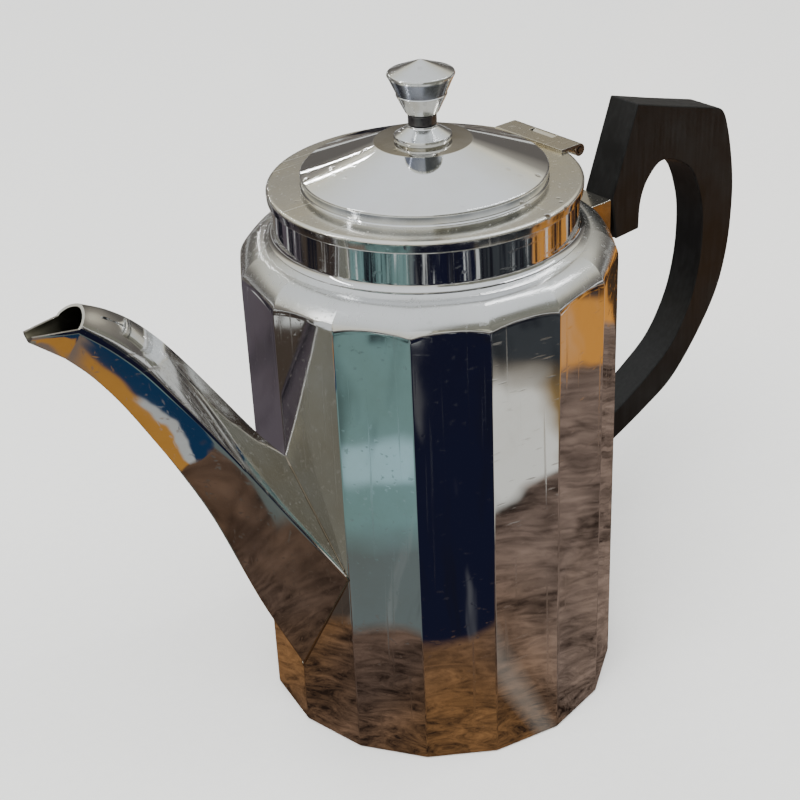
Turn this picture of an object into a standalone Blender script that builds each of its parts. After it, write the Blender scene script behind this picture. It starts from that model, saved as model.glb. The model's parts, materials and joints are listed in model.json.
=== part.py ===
"""Faceted silver coffee pot: hinged round lid, kite-section spout and a dark D handle.

The pot stands on z = 0 with its centre line on the Z axis. The spout points along -X and
the handle along +X. Lengths are in metres.
"""
import math

import bmesh
import bpy
from mathutils import Matrix, Vector

# Driving dimensions
GAP = 0.0003
EDGE = 0.0004
MERGE_DISTANCE = 0.00001
SIDES = 16
BODY_RADIUS = 0.0515
WALL = 0.0012
TURN_STEPS = 64
HALF_STEP = math.pi / TURN_STEPS
SHOULDER_RADIUS = 0.0435
SHOULDER_Z = 0.1316
SHOULDER_REACH = 0.0082
SHOULDER_RISE = 0.0088
SHOULDER_TOP = 0.1412
NECK_RADIUS = 0.0394
BASE_THICKNESS = 0.0015

# Cutters run past the pot to these heights and by these lengths
FORM_LOW = -0.0100
CAVITY_LOW = -0.0050
BODY_FORM_HIGH = 0.1600
CAVITY_FORM_HIGH = 0.1650
CUT_HIGH = 0.1700
CUT_PAST = 0.0100
PORT_CUT = 0.0120
CROSS_CUT = 0.0200

COLLAR_RADIUS = 0.0410
COLLAR_TOP = 0.1520

LID_RADIUS = 0.0422
LID_TOP = 0.1553
LID_RIM_BOTTOM = 0.1523
LID_SHEET = 0.0012
LID_HOLE_RADIUS = 0.0310
LID_EDGE = 0.0006
LID_RIM_WALL = 0.0026
BEZEL_RADIUS = 0.0386
BEZEL_WALL = 0.0010
BEZEL_EDGE = 0.0006
BEZEL_BOTTOM = 0.1495
DOME_RADIUS = 0.0330
DOME_EDGE_Z = 0.1585
DOME_EDGE_DROP = 0.0005
DOME_FLAT_RADIUS = 0.0131
DOME_FLAT_Z = 0.1660
DOME_CENTRE_Z = 0.1663
DOME_SHEET = 0.0010

STUD_RADIUS = 0.0013
STUD_HOLE = 0.0017
STUD_BOTTOM = 0.1621
STUD_TOP = 0.1785
NUT_ACROSS_CORNERS = 0.0070
NUT_TOP = 0.1648
NUT_BOTTOM = 0.1626
FINIAL_BASE_Z = 0.1667
FINIAL_BASE_RADIUS = 0.0077
FINIAL_BASE_RIM = 0.0014
SPACER_BOTTOM = 0.1706
SPACER_TOP = 0.1731
SPACER_RADIUS = 0.0038
KNOB_BOTTOM = 0.1734
KNOB_RIM_Z = 0.1837
KNOB_RADIUS = 0.0089
KNOB_FOOT_RADIUS = 0.0044
KNOB_SHOULDER = (0.0003, 0.0005)
KNOB_UNDERCUT = (0.0005, 0.0009)
KNOB_TOP = 0.1876

HINGE_X = 0.0445
HINGE_Z = 0.1544
KNUCKLE_RADIUS = 0.0018
PIN_HOLE_RADIUS = 0.0011
PIN_RADIUS = 0.0008
LEAF_HALF_WIDTH = 0.0133
LEAF_INNER_X = 0.0375
LEAF_BOTTOM = 0.1556
LEAF_SLOT_Z = (0.1500, 0.1600)
CENTRE_KNUCKLE_HALF = 0.0043
BRACKET_SHEET = 0.0010
BRACKET_BOTTOM = 0.1435
BRACKET_OUTER_TOP = 0.1475
BRACKET_INNER_TOP = 0.1518
BRACKET_SWEEP = (-25, 235)
PIN_PROUD = 0.0004

HANDLE_HALF = 0.0055
TENON_HALF = 0.0035
SOCKET_PIN_RADIUS = 0.0010
SOCKET_PIN_HOLE = 0.0013
UPPER_SOCKET_X = 0.0655
UPPER_SOCKET_Z = (0.1182, 0.1312)
LOWER_SOCKET_X = 0.0610
LOWER_SOCKET_Z = (0.0452, 0.0548)
POCKET_DEPTH = 0.0085
POCKET_WALL = 0.0013
SOCKET_SEAT = 0.0030
TENON_ROOT = 0.0040
HANDLE_CHIN = (0.0022, -0.0003)

SPOUT_CORNER_WALL = 0.00165
MOUTH_HALF = 0.0057
SPOUT_TAPER = 1.3
LIP_RIDGE = (-0.1142, 0.0, 0.1598)
LIP_CREASE = (-0.1183, 0.0027, 0.1509)
LIP_KEEL = (-0.1183, 0.0, 0.1486)
CORE_PAST = 0.0040
PORT_RADIUS = 0.0090
PORT_Z = 0.0560

# Colour, roughness and metallic value of each finish
FINISHES = {
    "silver": ((0.78, 0.78, 0.76), 0.12, 1.0),
    "worn_silver": ((0.72, 0.70, 0.64), 0.28, 1.0),
    "dark_metal": ((0.20, 0.16, 0.12), 0.40, 1.0),
    "ebonised_wood": ((0.022, 0.022, 0.023), 0.34, 0.0),
}


def start_clean():
    for item in list(bpy.data.objects):
        bpy.data.objects.remove(item, do_unlink=True)
    parts = bpy.data.collections.new("coffee_pot")
    cutters = bpy.data.collections.new("cutters")
    for group in (parts, cutters):
        bpy.context.scene.collection.children.link(group)
    return parts, cutters


PARTS, CUTTERS = start_clean()


def finish(name):
    colour, roughness, metallic = FINISHES[name]
    material = bpy.data.materials.new(name)
    material.use_nodes = True
    shader = material.node_tree.nodes["Principled BSDF"]
    shader.inputs["Base Color"].default_value = (*colour, 1.0)
    shader.inputs["Roughness"].default_value = roughness
    shader.inputs["Metallic"].default_value = metallic
    return material


def new_object(name, mesh, group=None, look=None, smooth_angle=None):
    """Put a mesh in the scene as a part, or as a cutter if it has no finish."""
    item = bpy.data.objects.new(name, mesh)
    (group or (PARTS if look else CUTTERS)).objects.link(item)
    if look:
        material = finish(look)
        material.name = name + "_" + look
        mesh.materials.append(material)
    else:
        item.hide_render = True
        item.display_type = "WIRE"
    if smooth_angle:
        mesh.shade_smooth()
        mesh.set_sharp_from_angle(angle=math.radians(smooth_angle))
    return item


def mesh_from(build, name):
    mesh = bpy.data.meshes.new(name)
    shape = bmesh.new()
    build(shape)
    shape.to_mesh(mesh)
    shape.free()
    return mesh


def boolean(item, cutter, operation="DIFFERENCE"):
    modifier = item.modifiers.new(operation.lower(), "BOOLEAN")
    modifier.operation = operation
    modifier.object = cutter
    return item


def prism(name, sides, radius, z_low, z_high, look=None, smooth_angle=None):
    def build(shape):
        bmesh.ops.create_cone(
            shape,
            cap_ends=True,
            segments=sides,
            radius1=radius,
            radius2=radius,
            depth=z_high - z_low,
            matrix=Matrix.Translation((0.0, 0.0, (z_low + z_high) / 2)),
        )

    return new_object(name, mesh_from(build, name), look=look, smooth_angle=smooth_angle)


def box(name, low, high, look=None):
    low, high = Vector(low), Vector(high)

    def build(shape):
        place = Matrix.Translation((low + high) / 2) @ Matrix.Diagonal((*(high - low), 1.0))
        bmesh.ops.create_cube(shape, size=1.0, matrix=place)

    return new_object(name, mesh_from(build, name), look=look)


def rod(name, centre, axis, radius, length, look=None, sides=20):
    def build(shape):
        turn = Vector((0.0, 0.0, 1.0)).rotation_difference(Vector(axis)).to_matrix().to_4x4()
        bmesh.ops.create_cone(
            shape,
            cap_ends=True,
            segments=sides,
            radius1=radius,
            radius2=radius,
            depth=length,
            matrix=Matrix.Translation(centre) @ turn,
        )

    return new_object(name, mesh_from(build, name), look=look, smooth_angle=30 if look else None)


def turned(name, profile, closed, look=None, steps=TURN_STEPS):
    """Turn a profile of (radius, z) points about Z. It runs down its outer side."""
    mesh = bpy.data.meshes.new(name)
    edges = [(i, i + 1) for i in range(len(profile) - 1)]
    if closed:
        edges.append((len(profile) - 1, 0))
    mesh.from_pydata([(r, 0.0, z) for r, z in profile], edges, [])
    item = new_object(name, mesh, look=look)
    screw = item.modifiers.new("turn", "SCREW")
    screw.steps = steps
    screw.render_steps = steps
    screw.use_merge_vertices = True
    screw.merge_threshold = MERGE_DISTANCE
    screw.use_smooth_shade = False
    return item


def arc(centre, radius_x, radius_z, start, end, steps):
    """Points of an ellipse arc, with the angles in degrees."""
    points = []
    for i in range(steps + 1):
        angle = math.radians(start + (end - start) * i / steps)
        points.append((centre[0] + radius_x * math.cos(angle), centre[1] + radius_z * math.sin(angle)))
    return points


def smooth_route(points, steps):
    """A Catmull-Rom curve through a few (x, z) points."""
    route = []
    for i in range(len(points) - 1):
        before = Vector(points[max(i - 1, 0)])
        here = Vector(points[i])
        after = Vector(points[i + 1])
        beyond = Vector(points[min(i + 2, len(points) - 1)])
        for step in range(steps):
            t = step / steps
            cubic = (3 * here - before - 3 * after + beyond) * t ** 3
            square = (2 * before - 5 * here + 4 * after - beyond) * t ** 2
            route.append(tuple((2 * here + (after - before) * t + square + cubic) / 2))
    route.append(tuple(points[-1]))
    return route


def slab(name, outlines, half_width, look=None, y=0.0, smooth_angle=None):
    """A flat plate from (x, z) outlines, extruded along Y. Outlines after the first are holes."""
    curve = bpy.data.curves.new(name, "CURVE")
    curve.dimensions = "2D"
    curve.fill_mode = "BOTH"
    curve.extrude = half_width
    for outline in outlines:
        spline = curve.splines.new("POLY")
        spline.points.add(len(outline) - 1)
        for point, (x, z) in zip(spline.points, outline):
            point.co = (x, z, 0.0, 1.0)
        spline.use_cyclic_u = True
    guide = bpy.data.objects.new(name + "_curve", curve)
    CUTTERS.objects.link(guide)
    guide.rotation_euler = (math.pi / 2, 0.0, 0.0)
    guide.location = (0.0, y, 0.0)
    bpy.context.view_layer.update()
    evaluated = guide.evaluated_get(bpy.context.evaluated_depsgraph_get())
    mesh = bpy.data.meshes.new_from_object(evaluated)
    place = guide.matrix_world.copy()
    bpy.data.objects.remove(guide)
    shape = bmesh.new()
    shape.from_mesh(mesh)
    bmesh.ops.remove_doubles(shape, verts=shape.verts, dist=MERGE_DISTANCE)
    bmesh.ops.recalc_face_normals(shape, faces=shape.faces)
    shape.to_mesh(mesh)
    shape.free()
    mesh.materials.clear()
    item = new_object(name, mesh, look=look, smooth_angle=smooth_angle)
    item.matrix_world = place
    return item


def circle(centre, radius, sides=20):
    return arc(centre, radius, radius, 0, 360 * (sides - 1) / sides, sides - 1)


def shoulder_profile(inset):
    """The turned shoulder, moved inwards by inset, with the straight wall below it."""
    curve = arc((SHOULDER_RADIUS, SHOULDER_Z), SHOULDER_REACH - inset, SHOULDER_RISE - inset, 90, 0, 8)
    return curve + [(SHOULDER_RADIUS + SHOULDER_REACH - inset, FORM_LOW)]


def make_body():
    inner_radius = BODY_RADIUS - WALL / math.cos(math.pi / SIDES)
    body = prism("body_shell", SIDES, BODY_RADIUS, 0.0, BODY_FORM_HIGH, "silver")
    dome = turned("shoulder_form", [(0.0, SHOULDER_TOP), (COLLAR_RADIUS, SHOULDER_TOP)]
                  + shoulder_profile(0.0) + [(0.0, FORM_LOW)], False)
    dome.rotation_euler.z = HALF_STEP
    boolean(body, dome, "INTERSECT")
    cavity = prism("cavity", SIDES, inner_radius, CAVITY_LOW, CUT_HIGH)
    roof = SHOULDER_TOP - WALL
    neck = [(0.0, CAVITY_FORM_HIGH), (NECK_RADIUS, CAVITY_FORM_HIGH), (NECK_RADIUS, roof)]
    inner = turned("cavity_form", neck + shoulder_profile(WALL) + [(0.0, FORM_LOW)], False)
    inner.rotation_euler.z = HALF_STEP
    boolean(cavity, inner, "INTERSECT")
    boolean(body, cavity)
    port = rod("spout_port", (-BODY_RADIUS, 0, PORT_Z), (1, 0, 0), PORT_RADIUS, PORT_CUT, sides=24)
    boolean(body, port)
    base_radius = inner_radius - GAP / math.cos(math.pi / SIDES)
    prism("base_plate", SIDES, base_radius, 0.0, BASE_THICKNESS, "worn_silver")


def make_collar():
    bottom = SHOULDER_TOP + GAP
    turned("collar_ring", [
        (NECK_RADIUS, COLLAR_TOP),
        (COLLAR_RADIUS, COLLAR_TOP),
        (COLLAR_RADIUS, bottom),
        (NECK_RADIUS, bottom),
    ], True, "silver")


def make_lid():
    underside = LID_TOP - LID_SHEET
    turned("lid_rim", [
        (LID_HOLE_RADIUS, LID_TOP),
        (LID_RADIUS - LID_EDGE, LID_TOP),
        (LID_RADIUS, LID_TOP - LID_EDGE),
        (LID_RADIUS, LID_RIM_BOTTOM + EDGE),
        (LID_RADIUS - EDGE, LID_RIM_BOTTOM),
        (LID_RADIUS - LID_RIM_WALL, LID_RIM_BOTTOM),
        (LID_RADIUS - LID_RIM_WALL, underside),
        (LID_HOLE_RADIUS, underside),
    ], True, "worn_silver")
    turned("lid_bezel", [
        (BEZEL_RADIUS - BEZEL_WALL, underside - GAP),
        (BEZEL_RADIUS, underside - GAP),
        (BEZEL_RADIUS, BEZEL_BOTTOM + BEZEL_EDGE),
        (BEZEL_RADIUS - BEZEL_EDGE, BEZEL_BOTTOM),
        (BEZEL_RADIUS - BEZEL_WALL, BEZEL_BOTTOM),
    ], True, "worn_silver")
    foot = LID_TOP + GAP
    turned("lid_dome", [
        (STUD_HOLE, DOME_CENTRE_Z),
        (DOME_FLAT_RADIUS, DOME_FLAT_Z),
        (DOME_RADIUS - EDGE, DOME_EDGE_Z),
        (DOME_RADIUS, DOME_EDGE_Z - DOME_EDGE_DROP),
        (DOME_RADIUS, foot),
        (DOME_RADIUS - DOME_SHEET, foot),
        (DOME_RADIUS - DOME_SHEET, DOME_EDGE_Z - DOME_SHEET),
        (DOME_FLAT_RADIUS, DOME_FLAT_Z - DOME_SHEET),
        (STUD_HOLE, DOME_CENTRE_Z - DOME_SHEET),
    ], True, "worn_silver")


def make_finial():
    turned("finial_base", [
        (STUD_HOLE, SPACER_BOTTOM - GAP),
        (SPACER_RADIUS, SPACER_BOTTOM - GAP),
        (FINIAL_BASE_RADIUS, FINIAL_BASE_Z + FINIAL_BASE_RIM),
        (FINIAL_BASE_RADIUS, FINIAL_BASE_Z + EDGE),
        (FINIAL_BASE_RADIUS - EDGE, FINIAL_BASE_Z),
        (STUD_HOLE, FINIAL_BASE_Z),
    ], True, "worn_silver", steps=40)
    turned("finial_spacer", [
        (STUD_HOLE, SPACER_TOP),
        (SPACER_RADIUS, SPACER_TOP),
        (SPACER_RADIUS, SPACER_BOTTOM),
        (STUD_HOLE, SPACER_BOTTOM),
    ], True, "dark_metal", steps=28)
    turned("finial_knob", [
        (0.0, KNOB_TOP),
        (KNOB_RADIUS - KNOB_SHOULDER[0], KNOB_RIM_Z + KNOB_SHOULDER[1]),
        (KNOB_RADIUS, KNOB_RIM_Z),
        (KNOB_RADIUS - KNOB_UNDERCUT[0], KNOB_RIM_Z - KNOB_UNDERCUT[1]),
        (KNOB_FOOT_RADIUS, KNOB_BOTTOM),
        (STUD_RADIUS + GAP, KNOB_BOTTOM),
        (STUD_RADIUS + GAP, STUD_TOP + GAP),
        (0.0, STUD_TOP + GAP),
    ], False, "worn_silver", steps=40)
    stud_length = STUD_TOP - STUD_BOTTOM
    stud_centre = (0, 0, STUD_BOTTOM + stud_length / 2)
    rod("finial_stud", stud_centre, (0, 0, 1), STUD_RADIUS, stud_length, "dark_metal")
    nut = prism("finial_nut", 6, NUT_ACROSS_CORNERS / 2, NUT_BOTTOM, NUT_TOP, "dark_metal")
    boolean(nut, rod("nut_bore", (0, 0, NUT_TOP), (0, 0, 1), STUD_RADIUS + GAP, CUT_PAST))


def make_hinge():
    pivot = bpy.data.objects.new("lid_hinge_axis", None)
    PARTS.objects.link(pivot)
    pivot.location = (HINGE_X, 0.0, HINGE_Z)
    centre = (HINGE_X, HINGE_Z)
    bore = circle(centre, PIN_HOLE_RADIUS, 16)
    fall = math.degrees(math.asin((HINGE_Z - LEAF_BOTTOM) / KNUCKLE_RADIUS))
    barrel = arc(centre, KNUCKLE_RADIUS, KNUCKLE_RADIUS, 180 + fall, 450, 14)
    top = HINGE_Z + KNUCKLE_RADIUS
    leaf = slab("lid_hinge_leaf", [[(LEAF_INNER_X, top), (LEAF_INNER_X, LEAF_BOTTOM)] + barrel, bore],
                LEAF_HALF_WIDTH, "silver")
    slot = CENTRE_KNUCKLE_HALF + GAP
    slot_low, slot_high = LEAF_SLOT_Z
    slot_x = HINGE_X - KNUCKLE_RADIUS - GAP
    boolean(leaf, box("leaf_slot", (slot_x, -slot, slot_low), (HINGE_X + CUT_PAST, slot, slot_high)))

    plate_inner = COLLAR_RADIUS + GAP
    plate_outer = plate_inner + BRACKET_SHEET
    bracket = [(plate_inner, BRACKET_INNER_TOP), (plate_inner, BRACKET_BOTTOM),
               (plate_outer, BRACKET_BOTTOM), (plate_outer, BRACKET_OUTER_TOP)]
    bracket += arc(centre, KNUCKLE_RADIUS, KNUCKLE_RADIUS, *BRACKET_SWEEP, 14)
    slab("body_hinge_leaf", [bracket, bore], CENTRE_KNUCKLE_HALF, "silver")
    pin_length = 2 * LEAF_HALF_WIDTH + PIN_PROUD
    rod("hinge_pin", (HINGE_X, 0, HINGE_Z), (0, 1, 0), PIN_RADIUS, pin_length, "dark_metal")
    moving = ("lid_rim", "lid_bezel", "lid_dome", "finial_base", "finial_spacer", "finial_knob",
              "finial_stud", "finial_nut", "lid_hinge_leaf")
    for name in moving:
        item = bpy.data.objects[name]
        place = item.matrix_world.copy()
        item.parent = pivot
        item.matrix_parent_inverse = Matrix.Translation(-pivot.location)
        item.matrix_basis = place


def spout_sections():
    """Ridge, crease and keel of the kite section, from the body to the mouth."""
    face = math.pi / SIDES
    root_x = -BODY_RADIUS - GAP / math.cos(face)
    crease_x = root_x * math.cos(2 * face)
    ridge = [(root_x, 0.0905), (-0.0602, 0.1022), (-0.0709, 0.1182), (-0.0787, 0.1297),
             (-0.0846, 0.1377), (-0.0912, 0.1451), (-0.0978, 0.1504), (-0.1039, 0.1538)]
    keel = [(root_x, 0.0202), (-0.0635, 0.0485), (-0.0752, 0.0803), (-0.0838, 0.0991),
            (-0.0905, 0.1120), (-0.0975, 0.1245), (-0.1040, 0.1342), (-0.1100, 0.1413)]
    crease = [(crease_x, 0.0585), (-0.0590, 0.0785), (-0.0712, 0.0995), (-0.0797, 0.1135),
              (-0.0868, 0.1247), (-0.0938, 0.1353), (-0.1008, 0.1436), (-0.1079, 0.1504)]
    root_half = -root_x * math.sin(2 * face)
    low, high = crease[0][1], crease[-1][1]
    sections = []
    for top, side, bottom in zip(ridge, crease, keel):
        share = (high - side[1]) / (high - low)
        half = MOUTH_HALF + (root_half - MOUTH_HALF) * share ** SPOUT_TAPER
        sections.append((Vector((top[0], 0, top[1])), Vector((side[0], half, side[1])),
                         Vector((bottom[0], 0, bottom[1]))))
    return sections


def kite_loft(shape, sections, shrink):
    """Skin the kite sections into a closed solid, drawn in by shrink on every side."""
    rings = []
    for ridge, crease, keel in sections:
        hub = (ridge + keel + crease + Vector((crease.x, -crease.y, crease.z))) / 4
        corners = [ridge, crease, keel, Vector((crease.x, -crease.y, crease.z))]
        ring = []
        for corner in corners:
            spoke = corner - hub
            ring.append(shape.verts.new(corner - spoke.normalized() * shrink))
        rings.append(ring)
    for lower, upper in zip(rings, rings[1:]):
        for i in range(4):
            j = (i + 1) % 4
            shape.faces.new((lower[i], lower[j], upper[j], upper[i]))
    shape.faces.new(list(reversed(rings[0])))
    shape.faces.new(rings[-1])
    bmesh.ops.recalc_face_normals(shape, faces=shape.faces)


def make_spout():
    sections = spout_sections()
    lip = tuple(Vector(corner) for corner in (LIP_RIDGE, LIP_CREASE, LIP_KEEL))
    outer = sections + [lip]
    mesh = mesh_from(lambda shape: kite_loft(shape, outer, 0.0), "spout")
    spout = new_object("spout", mesh, look="silver")
    direction = (lip[1] - sections[-1][1]).normalized() * CORE_PAST
    direction.y = 0
    beyond = tuple(corner + direction for corner in lip)
    before = tuple(corner + Vector((CORE_PAST, 0, 0)) for corner in sections[0])
    inside = [before] + outer + [beyond]
    hollow = mesh_from(lambda shape: kite_loft(shape, inside, SPOUT_CORNER_WALL), "spout_core")
    boolean(spout, new_object("spout_core", hollow))
    mouth_top, mouth_side = sections[-1][0], sections[-1][1]
    lip_x, lip_z = lip[1].x, lip[1].z
    trim = slab("mouth_trim", [[
        (mouth_top.x, mouth_top.z), (mouth_side.x, mouth_side.z), (lip_x, lip_z),
        (lip_x - CUT_PAST, lip_z), (lip_x - CUT_PAST, CUT_HIGH), (mouth_top.x + CORE_PAST, CUT_HIGH),
    ]], CROSS_CUT)
    boolean(spout, trim)


def make_socket(name, reach, z_low, z_high):
    """A square socket soldered to the body, with a pocket that takes the handle's tenon."""
    start = BODY_RADIUS - SOCKET_SEAT
    socket = box(name, (start, -HANDLE_HALF, z_low), (reach, HANDLE_HALF, z_high), "silver")
    clear = BODY_RADIUS + GAP / math.cos(math.pi / SIDES)
    boolean(socket, prism(name + "_seat", SIDES, clear, FORM_LOW, CUT_HIGH))
    pocket = box(name + "_pocket",
                 (reach - POCKET_DEPTH, -TENON_HALF - GAP, z_low + POCKET_WALL),
                 (reach + CUT_PAST, TENON_HALF + GAP, z_high - POCKET_WALL))
    boolean(socket, pocket)
    pin_x = reach - POCKET_DEPTH / 2
    pin_z = (z_low + z_high) / 2
    hole = rod(name + "_pin_hole", (pin_x, 0, pin_z), (0, 1, 0), SOCKET_PIN_HOLE, CROSS_CUT, sides=16)
    boolean(socket, hole)
    rod(name.replace("socket", "pin"), (pin_x, 0, pin_z), (0, 1, 0), SOCKET_PIN_RADIUS,
        2 * HANDLE_HALF, "silver", sides=16)
    tenon = box(name + "_tenon",
                (reach - POCKET_DEPTH + GAP, -TENON_HALF, z_low + POCKET_WALL + GAP),
                (reach + TENON_ROOT, TENON_HALF, z_high - POCKET_WALL - GAP))
    return tenon, hole


def make_handle():
    upper_low, upper_high = UPPER_SOCKET_Z
    lower_low, lower_high = LOWER_SOCKET_Z
    upper_tenon, upper_hole = make_socket("upper_socket", UPPER_SOCKET_X, upper_low, upper_high)
    lower_tenon, lower_hole = make_socket("lower_socket", LOWER_SOCKET_X, lower_low, lower_high)
    upper_face = UPPER_SOCKET_X + GAP
    lower_face = LOWER_SOCKET_X + GAP
    outer = smooth_route([(0.1103, 0.1479), (0.1145, 0.1445), (0.1184, 0.1314), (0.1202, 0.1160),
                          (0.1186, 0.0970), (0.1125, 0.0810), (0.0975, 0.0625), (0.0830, 0.0542),
                          (lower_face, lower_low)], 4)
    inner = smooth_route([(lower_face, lower_high), (0.0707, 0.0588), (0.0837, 0.0658), (0.0945, 0.0735),
                          (0.1020, 0.0850), (0.1055, 0.0970), (0.1064, 0.1090), (0.1050, 0.1200),
                          (0.0995, 0.1315), (0.0880, 0.1372), (0.0815, 0.1336), (0.0783, 0.1270),
                          (0.0777, 0.1184)], 4)
    chin = (upper_face + HANDLE_CHIN[0], upper_low + HANDLE_CHIN[1])
    front = [chin, (upper_face, upper_high), (0.0756, 0.1578), (0.0905, 0.1534)]
    handle = slab("handle", [outer + inner + front], HANDLE_HALF, "ebonised_wood")
    for tenon, hole in ((upper_tenon, upper_hole), (lower_tenon, lower_hole)):
        boolean(handle, tenon, "UNION")
        boolean(handle, hole)


make_body()
make_collar()
make_lid()
make_finial()
make_hinge()
make_spout()
make_handle()
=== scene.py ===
"""Looks of the faceted silver coffee pot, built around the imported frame. Lengths are in metres."""
import json
import math

import bmesh
import bpy
from mathutils import Matrix, Vector


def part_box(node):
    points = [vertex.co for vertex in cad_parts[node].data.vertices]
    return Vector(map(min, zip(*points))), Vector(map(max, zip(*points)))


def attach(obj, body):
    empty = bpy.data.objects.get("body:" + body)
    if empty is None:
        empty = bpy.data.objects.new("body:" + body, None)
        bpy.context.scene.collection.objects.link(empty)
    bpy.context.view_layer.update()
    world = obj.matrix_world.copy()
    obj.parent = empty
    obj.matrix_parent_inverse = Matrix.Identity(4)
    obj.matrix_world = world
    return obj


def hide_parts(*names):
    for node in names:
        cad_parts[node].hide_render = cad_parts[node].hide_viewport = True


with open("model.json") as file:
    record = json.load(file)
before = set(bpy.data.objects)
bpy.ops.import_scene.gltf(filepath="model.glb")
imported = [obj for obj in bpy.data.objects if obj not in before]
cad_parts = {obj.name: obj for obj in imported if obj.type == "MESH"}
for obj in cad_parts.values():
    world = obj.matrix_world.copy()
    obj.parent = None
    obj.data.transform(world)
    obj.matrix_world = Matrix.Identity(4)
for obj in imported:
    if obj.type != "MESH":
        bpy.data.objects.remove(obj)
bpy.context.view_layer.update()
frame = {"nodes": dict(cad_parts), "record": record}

SIDES = 16
HALF_FACE = math.pi / SIDES
MM = 0.001

BODY_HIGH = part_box("body_shell")[1]
BODY_RADIUS = BODY_HIGH[0]
APOTHEM = BODY_RADIUS * math.cos(HALF_FACE)
SHOULDER_TOP = BODY_HIGH[2]
WALL = 1.2 * MM
COLLAR_LOW, COLLAR_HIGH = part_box("collar_ring")
COLLAR_RADIUS = COLLAR_HIGH[0]
COLLAR_TOP = COLLAR_HIGH[2]
COLLAR_SHEET = 1.6 * MM
NECK_RADIUS = COLLAR_RADIUS - COLLAR_SHEET
RIM_LOW, RIM_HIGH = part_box("lid_rim")
LID_RADIUS = RIM_HIGH[0]
LID_TOP = RIM_HIGH[2]
RIM_BOTTOM = RIM_LOW[2]
DOME_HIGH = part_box("lid_dome")[1]
DOME_RADIUS = DOME_HIGH[0]
BEZEL_LOW, BEZEL_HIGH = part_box("lid_bezel")
KNOB_LOW, KNOB_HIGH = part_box("finial_knob")
FOOT_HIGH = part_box("finial_base")[1]
SPACER_LOW, SPACER_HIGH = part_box("finial_spacer")
LEAF_LOW, LEAF_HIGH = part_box("lid_hinge_leaf")
HINGE = frame["record"]["behaviour"]["joints"][0]["pos_m"]
HANDLE_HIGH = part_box("handle")[1]
STUD_HOLE = 1.7 * MM

# Clearance of the CAD's fits, the hairline left between pieces that touch, and how far cutters run past
GAP = 0.3 * MM
HAIRLINE = 0.02 * MM
CUT_PAST = 10 * MM
CROSS_CUT = 20 * MM
CUT_LOW = -10 * MM
CUT_HIGH = 170 * MM


# ---------------------------------------------------------------- materials

class Nodes:
    """A short way to write a node tree."""

    def __init__(self, name):
        self.material = bpy.data.materials.new(name)
        self.material.use_nodes = True
        self.tree = self.material.node_tree
        self.shader = self.tree.nodes["Principled BSDF"]

    def add(self, kind, inputs=None, **settings):
        node = self.tree.nodes.new(kind)
        for key, value in settings.items():
            setattr(node, key, value)
        for key, value in (inputs or {}).items():
            self.put(node.inputs[key], value)
        return node

    def put(self, socket, value):
        if isinstance(value, bpy.types.NodeSocket):
            self.tree.links.new(value, socket)
        else:
            socket.default_value = value

    def math(self, operation, first, second=0.0, clamp=False):
        node = self.add("ShaderNodeMath", {0: first, 1: second}, operation=operation, use_clamp=clamp)
        return node.outputs[0]

    def place(self, scale=(1, 1, 1), turn=(0, 0, 0)):
        coordinates = self.add("ShaderNodeTexCoord").outputs["Object"]
        mapping = self.add("ShaderNodeMapping", {"Vector": coordinates})
        mapping.inputs["Scale"].default_value = scale
        mapping.inputs["Rotation"].default_value = turn
        return mapping.outputs[0]

    def noise(self, vector, scale, detail=3.0, roughness=0.5, distortion=0.0):
        node = self.add("ShaderNodeTexNoise", {"Vector": vector, "Scale": scale, "Detail": detail,
                                               "Roughness": roughness, "Distortion": distortion})
        return node.outputs[0]

    def span(self, value, low, high, to_low=0.0, to_high=1.0):
        node = self.add("ShaderNodeMapRange", {"Value": value, "From Min": low, "From Max": high,
                                               "To Min": to_low, "To Max": to_high})
        return node.outputs[0]

    def blend(self, factor, first, second):
        node = self.add("ShaderNodeMix", data_type="RGBA")
        self.put(node.inputs[0], factor)
        self.put(node.inputs[6], first)
        self.put(node.inputs[7], second)
        return node.outputs[2]

    def bump(self, height, distance, strength=1.0, normal=None):
        inputs = {"Height": height, "Distance": distance, "Strength": strength}
        if normal is not None:
            inputs["Normal"] = normal
        return self.add("ShaderNodeBump", inputs).outputs[0]

    def radius(self):
        """Distance from the Z axis, and height, for rings that follow a lathe."""
        coordinates = self.add("ShaderNodeTexCoord").outputs["Object"]
        split = self.add("ShaderNodeSeparateXYZ", {0: coordinates})
        across = self.math("POWER", split.outputs[0], 2.0)
        along = self.math("POWER", split.outputs[1], 2.0)
        return self.math("SQRT", self.math("ADD", across, along)), split.outputs[2]


WAVE_SCALE = 34.0
SCRATCH_DEPTH = 0.006 * MM
PIT_DEPTH = 0.2 * MM
GRIME_SOFT = 0.15 * MM


def scratches(nodes, long_axis, density, turn, seed):
    """Thin streaks along one axis, 0 to 1."""
    scale = [density] * 3
    scale[long_axis] = density / 45
    vector = nodes.place(tuple(scale), turn)
    shift = nodes.add("ShaderNodeVectorMath", {0: vector, 1: (seed, seed * 0.7, seed * 1.3)}, operation="ADD")
    streak = nodes.noise(shift.outputs[0], 1.0, 1.0)
    return nodes.span(streak, 0.66, 0.74)


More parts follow.
